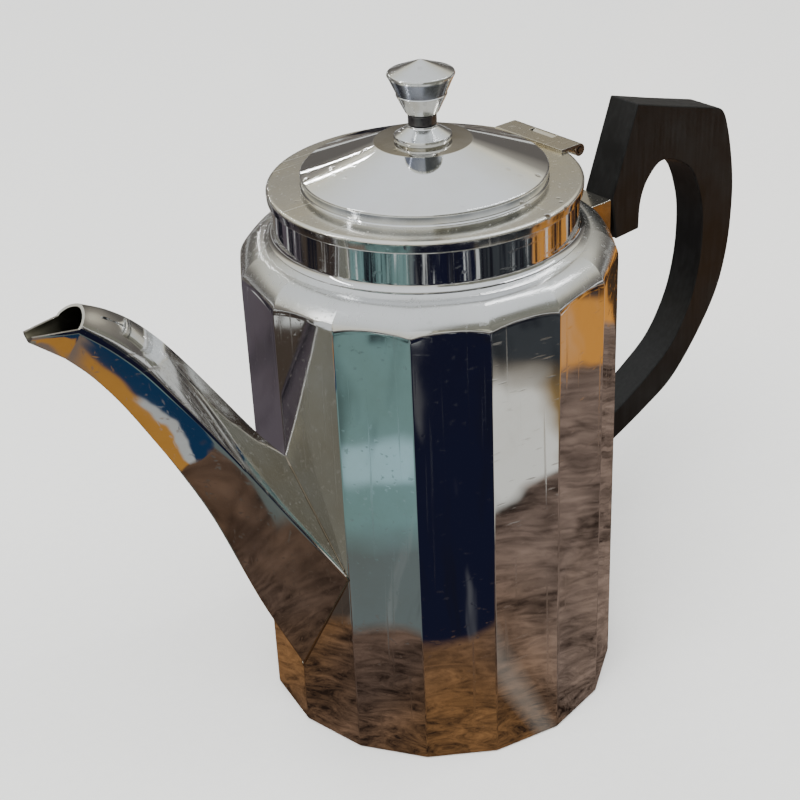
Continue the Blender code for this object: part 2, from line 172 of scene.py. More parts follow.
def silver(name, cool, warm, tarnish, roughness, wave, lathe=0.0, streaks=1.0, pits=0.0, grime_and_shade=()):
    """Polished plate: slow waves that bend reflections, scratches, tarnish clouds, pits, grime and painted
    shade.

    Each band is (inner radius, outer radius, low z, high z, colour, added roughness); some are grime, some
    painted shade.
    """
    n = Nodes(name)
    cloud = n.noise(n.place(), 16.0, 6.0, 0.6)
    speckle = n.noise(n.place(), 170.0, 4.0, 0.7)
    stain = n.span(n.math("ADD", cloud, n.math("MULTIPLY", speckle, 0.18)), 0.52, 0.78)
    colour = n.blend(n.math("MULTIPLY", stain, tarnish, clamp=True), (*cool, 1), (*warm, 1))
    lines = n.math("MAXIMUM", scratches(n, 2, 900.0, (0.10, 0.07, 0.0), 3.1),
                   scratches(n, 0, 700.0, (0.0, 0.5, 0.4), 7.7))
    lines = n.math("MULTIPLY", lines, streaks)
    height = n.math("MULTIPLY", lines, -0.5)
    clouded = n.span(cloud, 0.3, 0.7, roughness * 0.7, roughness * 1.35)
    gloss = n.math("ADD", clouded, n.math("MULTIPLY", lines, 0.16))
    if lathe:
        across, up = n.radius()
        ring = n.add("ShaderNodeCombineXYZ", {0: across, 1: 0.0, 2: up})
        grooves = n.noise(ring.outputs[0], 1900.0, 2.0, 0.6)
        height = n.math("ADD", height, n.math("MULTIPLY", grooves, lathe))
        gloss = n.math("ADD", gloss, n.span(grooves, 0.35, 0.75, 0.0, 0.06 * lathe))
    normal = n.bump(n.noise(n.place(), WAVE_SCALE, 2.0, 0.45), wave)
    normal = n.bump(height, SCRATCH_DEPTH, 1.0, normal)
    if pits:
        cell = n.add("ShaderNodeTexVoronoi", {"Vector": n.place(), "Scale": 210.0})
        patch = n.noise(n.place(), 45.0, 2.0)
        pit = n.math("MULTIPLY", n.span(cell.outputs["Distance"], 0.22, 0.10), n.span(patch, 0.56, 0.66))
        pit = n.math("MULTIPLY", pit, pits, clamp=True)
        colour = n.blend(pit, colour, (0.13, 0.10, 0.07, 1))
        gloss = n.math("ADD", gloss, n.math("MULTIPLY", pit, 0.35))
        normal = n.bump(n.math("MULTIPLY", pit, -1.0), PIT_DEPTH, 1.0, normal)
    # Bands of grime, and bands of painted shade that darken a recess, an underside and an upright side
    for inner, outer, low, high, shade, dull in grime_and_shade:
        across, up = n.radius()
        outside = n.span(across, inner - GRIME_SOFT, inner + GRIME_SOFT)
        band = n.math("MULTIPLY", outside, n.span(across, outer + GRIME_SOFT, outer - GRIME_SOFT))
        band = n.math("MULTIPLY", band, n.span(up, low - GRIME_SOFT, low + GRIME_SOFT))
        band = n.math("MULTIPLY", band, n.span(up, high + GRIME_SOFT, high - GRIME_SOFT))
        patchy = n.span(n.noise(n.place(), 60.0, 4.0), 0.35, 0.6, 0.55, 1.0)
        band = n.math("MULTIPLY", band, patchy)
        colour = n.blend(band, colour, (*shade, 1))
        gloss = n.math("ADD", gloss, n.math("MULTIPLY", band, dull))
    n.put(n.shader.inputs["Base Color"], colour)
    n.put(n.shader.inputs["Roughness"], gloss)
    n.put(n.shader.inputs["Normal"], normal)
    n.shader.inputs["Metallic"].default_value = 1.0
    return n.material


def dark_metal():
    n = Nodes("dark_metal")
    cloud = n.noise(n.place(), 420.0, 5.0, 0.65)
    n.put(n.shader.inputs["Base Color"], n.blend(cloud, (0.07, 0.07, 0.08, 1), (0.26, 0.25, 0.25, 1)))
    n.put(n.shader.inputs["Roughness"], n.span(cloud, 0.3, 0.7, 0.22, 0.5))
    n.put(n.shader.inputs["Normal"], n.bump(cloud, 0.00004))
    n.shader.inputs["Metallic"].default_value = 1.0
    return n.material


def ebonised_wood():
    """Black stained wood: long faint grain, worn a little grey, satin polish."""
    n = Nodes("ebonised_wood")
    grain = n.noise(n.place((900.0, 900.0, 45.0)), 1.0, 4.0, 0.6)
    cloud = n.noise(n.place(), 60.0, 4.0, 0.6)
    wear = n.span(n.math("ADD", n.math("MULTIPLY", grain, 0.5), n.math("MULTIPLY", cloud, 0.5)), 0.42, 0.68)
    colour = n.blend(wear, (0.0034, 0.0033, 0.0034, 1), (0.0105, 0.0108, 0.0112, 1))
    n.put(n.shader.inputs["Base Color"], colour)
    n.put(n.shader.inputs["Roughness"], n.span(cloud, 0.3, 0.7, 0.36, 0.52))
    n.put(n.shader.inputs["Normal"], n.bump(grain, 0.00003, 0.6, n.bump(cloud, 0.00018, 0.6)))
    n.shader.inputs["Specular IOR Level"].default_value = 0.32
    return n.material


# Grime and painted shade: cloudy plate on the shoulder, painted shade in the step round the crown, dull round
# the finial's foot, painted shade on the lid rim's upright side and under the knob's rim
ANY_RADIUS = 60 * MM
SHOULDER_CLOUD = (0.0, ANY_RADIUS, 135.5 * MM, 141.5 * MM, (0.74, 0.75, 0.75), 0.20)
# Painted shade: the step wall round the crown is painted dark blue-grey
CROWN_STEP_SHADE = (32.7 * MM, ANY_RADIUS, 155.7 * MM, 157.9 * MM, (0.20, 0.21, 0.23), 0.05)
CROWN_FLAT = (0.0, 13.0 * MM, 165 * MM, 167 * MM, (0.52, 0.48, 0.39), 0.06)
# Painted shade: the lid rim's upright outer side is painted a darker grey, and made glossier
FLANGE_SIDE_SHADE = (41.9 * MM, ANY_RADIUS, 140 * MM, 154.3 * MM, (0.50, 0.50, 0.52), -0.08)
# Painted shade: the knob's underside below its rim is painted dark blue-grey, a little duller
KNOB_BAND_SHADE = (0.0, ANY_RADIUS, 178.7 * MM, 183.1 * MM, (0.13, 0.145, 0.20), 0.05)

WARM = (0.70, 0.64, 0.50)
PANEL_SILVER = silver("panel_silver", (0.84, 0.85, 0.87), (0.62, 0.55, 0.44), 0.35, 0.045, 0.00016,
                      grime_and_shade=(SHOULDER_CLOUD,))
SPOUT_SILVER = silver("spout_silver", (0.80, 0.81, 0.82), (0.60, 0.53, 0.41), 0.45, 0.06, 0.00010)
COLLAR_SILVER = silver("collar_silver", (0.80, 0.81, 0.83), WARM, 0.3, 0.05, 0.00006, lathe=0.3)
LID_SILVER = silver("lid_silver", (0.90, 0.91, 0.92), (0.78, 0.75, 0.68), 0.5, 0.035, 0.00004,
                    lathe=0.3, streaks=0.3, pits=0.4, grime_and_shade=(CROWN_STEP_SHADE, CROWN_FLAT))
FLANGE_SILVER = silver("flange_silver", (0.90, 0.89, 0.84), (0.93, 0.85, 0.64), 1.0, 0.16, 0.00006,
                       lathe=0.7, pits=1.0, grime_and_shade=(FLANGE_SIDE_SHADE,))
FINIAL_SILVER = silver("finial_silver", (0.84, 0.86, 0.88), (0.60, 0.56, 0.48), 0.6, 0.10, 0.00003,
                       lathe=1.6, pits=0.3, grime_and_shade=(KNOB_BAND_SHADE,))
POT_INSIDE = silver("pot_inside", (0.55, 0.53, 0.48), (0.30, 0.25, 0.18), 1.0, 0.30, 0.0001, pits=0.6)
SEAM_SILVER = silver("seam_silver", (0.42, 0.37, 0.30), (0.16, 0.12, 0.08), 1.0, 0.12, 0.00006, pits=0.5)
SPOUT_INSIDE = silver("spout_inside", (0.16, 0.15, 0.11), (0.05, 0.045, 0.035), 1.0, 0.42, 0.0001, pits=1.0)
DARK_METAL = dark_metal()
BLACK_WOOD = ebonised_wood()


# ---------------------------------------------------------------- shapes

def placed(name, data):
    """A new object, in the scene."""
    item = bpy.data.objects.new(name, data)
    bpy.context.scene.collection.objects.link(item)
    return item


def applied(item):
    """The mesh of an object with its modifiers applied."""
    bpy.context.view_layer.update()
    evaluated = item.evaluated_get(bpy.context.evaluated_depsgraph_get())
    return bpy.data.meshes.new_from_object(evaluated)


def finish_piece(name, mesh, material, body, node=None, smooth=None, bevel=0.0, segments=3):
    """Give a mesh its material, rounded edges and clean shading, and hang it on its body."""
    item = placed(name, mesh)
    if material:
        mesh.materials.clear()
        mesh.materials.append(material)
    mesh.shade_smooth()
    if bevel:
        modifier = item.modifiers.new("rounded_edges", "BEVEL")
        modifier.width = bevel
        modifier.segments = segments
        modifier.limit_method = "ANGLE"
        modifier.angle_limit = math.radians(28)
    if smooth:
        mesh.set_sharp_from_angle(angle=math.radians(smooth))
    weighted = item.modifiers.new("flat_faces", "WEIGHTED_NORMAL")
    weighted.keep_sharp = True
    weighted.weight = 80
    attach(item, body)
    if node:
        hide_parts(node)
    return item


def mesh_from(shape, name):
    bmesh.ops.recalc_face_normals(shape, faces=shape.faces)
    mesh = bpy.data.meshes.new(name)
    shape.to_mesh(mesh)
    shape.free()
    return mesh


def skin(rows, close_along=False):
    """Quads between rows of points that each close on themselves."""
    shape = bmesh.new()
    grid = [[shape.verts.new(point) for point in row] for row in rows]
    pairs = list(zip(grid, grid[1:]))
    if close_along:
        pairs.append((grid[-1], grid[0]))
    width = len(grid[0])
    for lower, upper in pairs:
        for i in range(width):
            j = (i + 1) % width
            shape.faces.new((lower[i], lower[j], upper[j], upper[i]))
    return shape


def arc(centre, radius_x, radius_z, start, end, steps):
    """Points of an ellipse arc, with the angles in degrees."""
    points = []
    for i in range(steps + 1):
        angle = math.radians(start + (end - start) * i / steps)
        points.append((centre[0] + radius_x * math.cos(angle), centre[1] + radius_z * math.sin(angle)))
    return points


def rounded(outline, radii, steps=5):
    """Round the corners of a closed (x, z) outline; each corner has its own radius, or none."""
    result = []
    count = len(outline)
    for i, radius in enumerate(radii):
        here = Vector(outline[i])
        before = Vector(outline[i - 1]) - here
        after = Vector(outline[(i + 1) % count]) - here
        if not radius:
            result.append(tuple(here))
            continue
        half = before.angle(after) / 2
        reach = min(radius / math.tan(half), before.length * 0.49, after.length * 0.49)
        start = here + before.normalized() * reach
        end = here + after.normalized() * reach
        for step in range(steps + 1):
            t = step / steps
            point = start * (1 - t) ** 2 + here * 2 * t * (1 - t) + end * t ** 2
            result.append(tuple(point))
    return result


def turned(name, outline, radii, material, body, node, steps=192):
    """A lathe-turned ring from a closed (radius, z) outline."""
    profile = rounded(outline, radii)
    rows = []
    for i in range(steps):
        angle = 2 * math.pi * i / steps
        rows.append([(r * math.cos(angle), r * math.sin(angle), z) for r, z in profile])
    mesh = mesh_from(skin(rows, close_along=True), name)
    return finish_piece(name, mesh, material, body, node, smooth=50)


def smooth_route(points, steps):
    """A Catmull-Rom curve through a few points."""
    points = [Vector(point) for point in points]
    route = []
    for i in range(len(points) - 1):
        before = points[max(i - 1, 0)]
        here = points[i]
        after = points[i + 1]
        beyond = points[min(i + 2, len(points) - 1)]
        for step in range(steps):
            t = step / steps
            cubic = (3 * here - before - 3 * after + beyond) * t ** 3
            square = (2 * before - 5 * here + 4 * after - beyond) * t ** 2
            route.append((2 * here + (after - before) * t + square + cubic) / 2)
    route.append(points[-1])
    return route


# ---------------------------------------------------------------- body

SHOULDER_RADIUS = 43.5 * MM
SHOULDER_Z = 131.6 * MM
SHOULDER_RISE = 8.8 * MM
EDGE_ROUND = 1.6 * MM
INNER_EDGE_ROUND = EDGE_ROUND * 0.4
FOOT_ROUND = 0.7 * MM
COLLAR_FOOT = 42.35 * MM
COLLAR_SEAT = 0.1 * MM
PORT_RADIUS = 9.0 * MM
PORT_Z = 56.0 * MM
PORT_CUT = (40 * MM, 60 * MM)
WALL_SHARES = (0.25, 0.5, 0.75)

# Degrees up the shoulder's arc where a panel ends, at its edges and at its middle
ARCH_AT_EDGE = 10.0
ARCH_AT_FACE = 20.5
ARCH_SOFTEN = 0.8 * MM


def rounded_prism(apothem, edge_radius, corner_steps=5, face_steps=8):
    """Plan outline of the sixteen-sided wall, with its upright edges rounded."""
    outline = []
    centre = (apothem - edge_radius) / math.cos(HALF_FACE)
    for k in range(SIDES):
        corner = 2 * HALF_FACE * k
        middle = Vector((centre * math.cos(corner), centre * math.sin(corner)))
        for i in range(corner_steps + 1):
            angle = corner - HALF_FACE + 2 * HALF_FACE * i / corner_steps
            outline.append(middle + Vector((edge_radius * math.cos(angle), edge_radius * math.sin(angle))))
        following = corner + 2 * HALF_FACE
        next_middle = Vector((centre * math.cos(following), centre * math.sin(following)))
        normal = corner + HALF_FACE
        offset = Vector((edge_radius * math.cos(normal), edge_radius * math.sin(normal)))
        for i in range(1, face_steps):
            outline.append((middle + offset).lerp(next_middle + offset, i / face_steps))
    return outline


def shoulder_curve(radius, inset, steps):
    """The wall's top, its arch under the shoulder, and the shoulder up to the neck."""
    depth = BODY_RADIUS - APOTHEM
    flat = min(max((BODY_RADIUS - inset - radius) / depth, 0.0), 1.0)
    start = ARCH_AT_EDGE + (ARCH_AT_FACE - ARCH_AT_EDGE) * flat
    reach = (radius - SHOULDER_RADIUS) / math.cos(math.radians(start))
    rise = SHOULDER_RISE - inset
    crease = Vector((radius, SHOULDER_Z + rise * math.sin(math.radians(start))))
    blend_end = start + math.degrees(ARCH_SOFTEN / rise)
    below = Vector((radius, crease.y - ARCH_SOFTEN))
    after = Vector(arc((SHOULDER_RADIUS, SHOULDER_Z), reach, rise, blend_end, blend_end, 1)[0])
    points = []
    for i in range(6):
        t = i / 5
        points.append(tuple(below * (1 - t) ** 2 + crease * 2 * t * (1 - t) + after * t ** 2))
    return points + arc((SHOULDER_RADIUS, SHOULDER_Z), reach, rise, blend_end, 90, steps)[1:]


def make_body():
    """The sixteen-sided wall and its shoulder, inside and out, with the port behind the spout."""
    inner_apothem = APOTHEM - WALL
    outer_plan = rounded_prism(APOTHEM, EDGE_ROUND)
    inner_plan = rounded_prism(inner_apothem, INNER_EDGE_ROUND)
    roof = SHOULDER_TOP - WALL
    neck_top = COLLAR_LOW[2] - HAIRLINE
    rows = []
    for outer, inner in zip(outer_plan, inner_plan):
        r_out = outer.length
        r_in = inner.length
        profile = arc((r_out - FOOT_ROUND, FOOT_ROUND), FOOT_ROUND, FOOT_ROUND, -90, 0, 4)
        profile += [(r_out, SHOULDER_Z * share) for share in WALL_SHARES]
        profile += shoulder_curve(r_out, 0.0, 14)
        profile.append((COLLAR_FOOT, neck_top - COLLAR_SEAT))
        profile.append((COLLAR_FOOT - COLLAR_SEAT, neck_top))
        profile.append((NECK_RADIUS, neck_top))
        profile.append((NECK_RADIUS, roof))
        profile += list(reversed(shoulder_curve(r_in, WALL, 10)))
        profile += [(r_in, SHOULDER_Z * share) for share in reversed(WALL_SHARES)]
        profile.append((r_in, 0.0))
        out_way = outer.normalized()
        rows.append([(r * out_way.x, r * out_way.y, z) for r, z in profile])
    mesh = mesh_from(skin(rows, close_along=True), "body")
    mesh.materials.append(PANEL_SILVER)
    mesh.materials.append(POT_INSIDE)
    inner_start = profile.index((NECK_RADIUS, neck_top))
    for face in mesh.polygons:
        if face.index % len(profile) >= inner_start:
            face.material_index = 1
    port = arc((0.0, PORT_Z), PORT_RADIUS, PORT_RADIUS, 0, 360, 48)[:-1]
    mesh = carve(mesh, mesh_from(plate(port, *PORT_CUT, turn=math.pi / 2), "port"))
    finish_piece("body", mesh, None, "pot", "body_shell", smooth=60)


COLLAR_SWEEP = 2.2 * MM
COLLAR_SWEEP_END = 247
COLLAR_LIP = 0.08 * MM


def make_collar():
    """The neck band, with a hollow sweep where it meets the shoulder."""
    bottom = COLLAR_LOW[2]
    hub = (COLLAR_RADIUS + COLLAR_SWEEP, bottom + COLLAR_SWEEP)
    foot = arc(hub, COLLAR_SWEEP, COLLAR_SWEEP, 180, COLLAR_SWEEP_END, 10)
    outline = [(NECK_RADIUS, COLLAR_TOP), (COLLAR_RADIUS, COLLAR_TOP)] + foot
    outline += [(COLLAR_FOOT, bottom + COLLAR_LIP), (COLLAR_FOOT, bottom), (NECK_RADIUS, bottom)]
    radii = [0.2 * MM, 0.3 * MM] + [0] * (len(outline) - 2)
    turned("collar", outline, radii, COLLAR_SILVER, "pot", "collar_ring")


# ---------------------------------------------------------------- lid

LID_SHEET = 1.2 * MM
LID_HOLE = 31.0 * MM
LID_RIM_WALL = 2.6 * MM
LID_RIM_DRAFT = 0.25 * MM
RING_WALL = 1 * MM
DOME_SHEET = 1 * MM
DOME_EDGE_Z = 158.5 * MM
DOME_FLAT_RADIUS = 13.1 * MM
DOME_CROWN = 0.3 * MM
DOME_WAIST = 0.35 * MM


def make_lid():
    """The flange, the ring under it and the stepped crown."""
    underside = LID_TOP - LID_SHEET
    inner = LID_RADIUS - LID_RIM_WALL
    turned("lid_flange", [
        (LID_HOLE, LID_TOP),
        (LID_RADIUS, LID_TOP),
        (LID_RADIUS - LID_RIM_DRAFT, RIM_BOTTOM),
        (inner, RIM_BOTTOM),
        (inner, underside),
        (LID_HOLE, underside),
    ], (0, 1.0 * MM, 0.3 * MM, 0.3 * MM, 0, 0), FLANGE_SILVER, "lid", "lid_rim")
    bezel = BEZEL_HIGH[0]
    turned("lid_locating_ring", [
        (bezel - RING_WALL, BEZEL_HIGH[2]),
        (bezel, BEZEL_HIGH[2]),
        (bezel, BEZEL_LOW[2]),
        (bezel - RING_WALL, BEZEL_LOW[2]),
    ], (0, 0, 0.45 * MM, 0.2 * MM), LID_SILVER, "lid", "lid_bezel")
    foot = LID_TOP + HAIRLINE
    flat = DOME_HIGH[2] - DOME_CROWN
    turned("lid_crown", [
        (STUD_HOLE, DOME_HIGH[2]),
        (DOME_FLAT_RADIUS, flat),
        (DOME_RADIUS, DOME_EDGE_Z),
        (DOME_RADIUS - DOME_WAIST, foot + 0.5 * MM),
        (DOME_RADIUS, foot + 0.1 * MM),
        (DOME_RADIUS, foot),
        (DOME_RADIUS - DOME_SHEET, foot),
        (DOME_RADIUS - DOME_SHEET, DOME_EDGE_Z - DOME_SHEET),
        (DOME_FLAT_RADIUS, flat - DOME_SHEET),
        (STUD_HOLE, DOME_HIGH[2] - DOME_SHEET),
    ], (0, 1.2 * MM, 0.7 * MM, 0.4 * MM, 0.1 * MM, 0, 0, 0.3 * MM, 0.5 * MM, 0),
        LID_SILVER, "lid", "lid_dome")


FOOT_SINK = 0.12 * MM
KNOB_RIM_Z = 183.7 * MM
KNOB_HOLE = 1.6 * MM
KNOB_HOLE_DEPTH = 5.4 * MM
FINIAL_STEPS = 96


def make_finial():
    """The flared foot, its dark collar and the turned knob with a step half way down."""
    base = FOOT_HIGH[0]
    low = DOME_HIGH[2] - FOOT_SINK
    neck = SPACER_HIGH[0]
    turned("finial_foot", [
        (STUD_HOLE, FOOT_HIGH[2]),
        (neck, FOOT_HIGH[2]),
        (neck + 0.15 * MM, FOOT_HIGH[2] - 0.5 * MM),
        (base - 0.15 * MM, low + 1.5 * MM),
        (base, low + 0.9 * MM),
        (base - 0.3 * MM, low),
        (STUD_HOLE, low),
    ], (0, 0.1 * MM, 0.5 * MM, 0.15 * MM, 0.2 * MM, 0.2 * MM, 0),
        FINIAL_SILVER, "lid", "finial_base", FINIAL_STEPS)
    turned("finial_collar", [
        (STUD_HOLE, SPACER_HIGH[2]),
        (neck, SPACER_HIGH[2]),
        (neck, SPACER_LOW[2]),
        (STUD_HOLE, SPACER_LOW[2]),
    ], (0, 0.15 * MM, 0.15 * MM, 0), DARK_METAL, "lid", "finial_spacer", FINIAL_STEPS)
    rim = KNOB_HIGH[0]
    turned("finial_top", [
        (HAIRLINE, KNOB_HIGH[2]),
        (rim - 0.2 * MM, KNOB_RIM_Z + 0.6 * MM),
        (rim, KNOB_RIM_Z),
        (rim - 0.5 * MM, KNOB_RIM_Z - 0.9 * MM),
        (rim - 2.35 * MM, KNOB_RIM_Z - 5.0 * MM),
        (rim - 2.15 * MM, KNOB_RIM_Z - 5.25 * MM),
        (neck + 0.6 * MM, KNOB_LOW[2] + 0.3 * MM),
        (neck + 0.3 * MM, KNOB_LOW[2]),
        (KNOB_HOLE, KNOB_LOW[2]),
        (KNOB_HOLE, KNOB_LOW[2] + KNOB_HOLE_DEPTH),
        (HAIRLINE, KNOB_LOW[2] + KNOB_HOLE_DEPTH),
    ], (0, 0.4 * MM, 0.3 * MM, 0.3 * MM, 0.08 * MM, 0.08 * MM, 0.2 * MM, 0.1 * MM, 0, 0, 0),
        FINIAL_SILVER, "lid", "finial_knob", FINIAL_STEPS)


# ---------------------------------------------------------------- hinge

def plate(outline, y_low, y_high, turn=0.0):
    """Prism along Y from an (x, z) outline, turned about Z if asked."""
    shape = bmesh.new()
    ends = []
    for y in (y_low, y_high):
        ends.append([shape.verts.new((x, y, z)) for x, z in outline])
    near, far = ends
    for i in range(len(outline)):
        j = (i + 1) % len(outline)
        shape.faces.new((near[i], near[j], far[j], far[i]))
    shape.faces.new(near)
    shape.faces.new(far)
    if turn:
        bmesh.ops.rotate(shape, verts=shape.verts, matrix=Matrix.Rotation(turn, 3, "Z"))
    return shape


def shade_the_sides(mesh, main, ends):
    """The faces that look along Y get a second, darker material: painted shade on the sides."""
    mesh.materials.clear()
    mesh.materials.append(main)
    mesh.materials.append(ends)
    for face in mesh.polygons:
        if abs(face.normal.y) > 0.9:
            face.material_index = 1


HINGE_BORE = 1.0 * MM
SLOT_HALF = 4.6 * MM
SLOT_DROP = 5 * MM
SLOT_TOP = 160 * MM
MIDDLE_HALF = 4.3 * MM
BRACKET_SHEET = 1.0 * MM
BRACKET_BOTTOM = 143.5 * MM
BRACKET_OUTER_TOP = 147.5 * MM
BRACKET_INNER_TOP = 151.8 * MM
BRACKET_SWEEP = (-25, 235)
HINGE_SILVER = silver("hinge_silver", (0.78, 0.76, 0.70), (0.60, 0.52, 0.38), 0.9, 0.2, 0.00008, pits=1.0)


def make_hinge():
    """The lid's leaf with its two knuckles, and the bracket on the collar with the middle one."""
    centre = (HINGE[0], HINGE[2])
    knuckle = LEAF_HIGH[2] - HINGE[2]
    half = LEAF_HIGH[1]
    leaf_bottom = LID_TOP + HAIRLINE
    rise = math.degrees(math.asin((leaf_bottom - HINGE[2]) / knuckle))
    barrel = arc(centre, knuckle, knuckle, 180 - rise, 450, 28)
    inner_x = LEAF_LOW[0]
    outline = [(inner_x, LEAF_HIGH[2]), (inner_x, leaf_bottom)] + barrel
    mesh = mesh_from(plate(outline, -half, half), "lid_leaf")
    slot_low = (HINGE[0] - knuckle - GAP, -SLOT_HALF, leaf_bottom - SLOT_DROP)
    mesh = carve(mesh, block(slot_low, (HINGE[0] + CUT_PAST, SLOT_HALF, SLOT_TOP)))
    mesh = carve(mesh, pin_bore(centre, HINGE_BORE))
    # Painted shade: the leaf's ends and its slot's walls, which look along Y, get the dark metal
    shade_the_sides(mesh, HINGE_SILVER, DARK_METAL)
    finish_piece("lid_leaf", mesh, None, "lid", "lid_hinge_leaf", smooth=30, bevel=0.12 * MM)

    inner = COLLAR_RADIUS + GAP
    outer = inner + BRACKET_SHEET
    bracket = [(inner, BRACKET_INNER_TOP), (inner, BRACKET_BOTTOM),
               (outer, BRACKET_BOTTOM), (outer, BRACKET_OUTER_TOP)]
    bracket += arc(centre, knuckle, knuckle, *BRACKET_SWEEP, 28)
    mesh = mesh_from(plate(bracket, -MIDDLE_HALF, MIDDLE_HALF), "body_leaf")
    mesh = carve(mesh, pin_bore(centre, HINGE_BORE))
    finish_piece("body_leaf", mesh, HINGE_SILVER, "pot", "body_hinge_leaf",
                 smooth=30, bevel=0.15 * MM)


# ---------------------------------------------------------------- spout

ROOT_SINK = 0.2 * MM
MOUTH_HALF = 5.7 * MM
SPOUT_TAPER = 1.3


def spout_lines():
    """Points on the ridge, crease and keel of the spout, from the body to the mouth."""
    root_x = -BODY_RADIUS + ROOT_SINK
    crease_x = root_x * math.cos(2 * HALF_FACE)
    root_half = -root_x * math.sin(2 * HALF_FACE)
    ridge = [(root_x, 0.0905), (-0.0602, 0.1022), (-0.0709, 0.1182), (-0.0787, 0.1297),
             (-0.0846, 0.1377), (-0.0912, 0.1451), (-0.0978, 0.1504), (-0.1039, 0.1538)]
    keel = [(root_x, 0.0202), (-0.0635, 0.0485), (-0.0752, 0.0803), (-0.0838, 0.0991),
            (-0.0905, 0.1120), (-0.0975, 0.1245), (-0.1040, 0.1342), (-0.1100, 0.1413)]
    crease = [(crease_x, 0.0585), (-0.0590, 0.0785), (-0.0712, 0.0995), (-0.0797, 0.1135),
              (-0.0868, 0.1247), (-0.0938, 0.1353), (-0.1008, 0.1436), (-0.1079, 0.1504)]
    low, high = crease[0][1], crease[-1][1]
    sides = []
    for x, z in crease:
        share = (high - z) / (high - low)
        sides.append((x, MOUTH_HALF + (root_half - MOUTH_HALF) * share ** SPOUT_TAPER, z))
    tops = [(x, 0.0, z) for x, z in ridge]
    bottoms = [(x, 0.0, z) for x, z in keel]
    return tops, sides, bottoms


LIP_RIDGE = (-0.1142, 0.0, 0.1598)
LIP_KEEL = (-0.1183, 0.0, 0.1486)
LIP_SIDE = (-0.1183, 0.0027, 0.1509)
SPOUT_SHEET = 0.75 * MM
SPOUT_SOFTEN = (0.5 * MM, 1.4 * MM, 0.8 * MM, 1.4 * MM)
MOUTH_FULLNESS = 0.8
CORE_PAST = 4 * MM


def kite_ring(ridge, crease, keel, fullness, shrink, soften):
    """One kite-shaped section with rounded corners, drawn in by shrink; fullness arches its top."""
    mirror = Vector((crease.x, -crease.y, crease.z))
    hub = (ridge + keel + crease + mirror) / 4
    corners = []
    for corner in (ridge, crease, keel, mirror):
        corners.append(corner - (corner - hub).normalized() * shrink)
    top, side, _, far_side = corners
    middle = (side + far_side) / 2
    ring = []
    for i, here in enumerate(corners):
        before = corners[i - 1] - here
        after = corners[(i + 1) % 4] - here
        start = here + before.normalized() * min(soften[i], before.length * 0.4)
        end = here + after.normalized() * min(soften[i], after.length * 0.4)
        for step in range(5):
            t = step / 4
            ring.append(start * (1 - t) ** 2 + here * 2 * t * (1 - t) + end * t ** 2)
        following = corners[(i + 1) % 4]
        turn = here - following
        stop = following + turn.normalized() * min(soften[(i + 1) % 4], turn.length * 0.4)
        for step in range(1, 6):
            ring.append(end.lerp(stop, step / 6))
    height = top - middle
    across = side - middle
    full = []
    for point in ring:
        offset = point - middle
        up = max(offset.dot(height) / height.length_squared, 0.0)
        out = offset.dot(across) / across.length_squared
        swell = math.hypot(up, out)
        kite = up + abs(out)
        stretch = kite / swell if swell > 0 and up > 0 else 1.0
        full.append(point + (height * up + across * out) * (stretch - 1.0) * fullness)
    return full


def kite_solid(sections, shrink, soften, name):
    """A closed solid through a row of kite-shaped sections."""
    rows = [kite_ring(*section, shrink, soften) for section in sections]
    shape = skin(rows)
    shape.verts.ensure_lookup_table()
    width = len(rows[0])
    shape.faces.new(shape.verts[:width])
    shape.faces.new(shape.verts[-width:])
    return mesh_from(shape, name)


def make_spout():
    """The hollow spout with its trough lip, and the bead round its root."""
    tops, sides, bottoms = spout_lines()
    steps = 8
    lines = list(zip(smooth_route(tops, steps), smooth_route(sides, steps), smooth_route(bottoms, steps)))
    mouth = lines[-1]
    sections = []
    for i, line in enumerate(lines):
        fullness = min(max((i / len(lines) - 0.25) / 0.75, 0.0), 1.0)
        sections.append((*line, MOUTH_FULLNESS * fullness))
    lip = (Vector(LIP_RIDGE), Vector(LIP_SIDE), Vector(LIP_KEEL))
    for i in range(1, steps + 1):
        sections.append((*(a.lerp(b, i / steps) for a, b in zip(mouth, lip)), MOUTH_FULLNESS))
    outer = kite_solid(sections, 0.0, SPOUT_SOFTEN, "spout")
    direction = (lip[1] - mouth[1]).normalized() * CORE_PAST
    direction.y = 0
    beyond = (*(corner + direction for corner in lip), MOUTH_FULLNESS)
    before = (*(corner + Vector((CORE_PAST, 0, 0)) for corner in lines[0]), 0.0)
    core = kite_solid([before] + sections + [beyond], SPOUT_SHEET, SPOUT_SOFTEN, "spout_core")
    outer.materials.append(SPOUT_SILVER)
    mesh = carve(outer, core, inside=SPOUT_INSIDE)
    trim = [(mouth[0].x, mouth[0].z), (mouth[1].x, mouth[1].z), (LIP_SIDE[0], LIP_SIDE[2]),
            (LIP_SIDE[0] - CUT_PAST, LIP_SIDE[2]), (LIP_SIDE[0] - CUT_PAST, CUT_HIGH),
            (mouth[0].x + CORE_PAST, CUT_HIGH)]
    mesh = carve(mesh, mesh_from(plate(trim, -CROSS_CUT, CROSS_CUT), "trim"))
    finish_piece("spout_body", mesh, None, "pot", "spout", smooth=24)
    make_seam(tops[0], sides[0], bottoms[0])


SEAM_RADIUS = 0.45 * MM
SEAM_STEPS = 12
SEAM_SIDES = 10


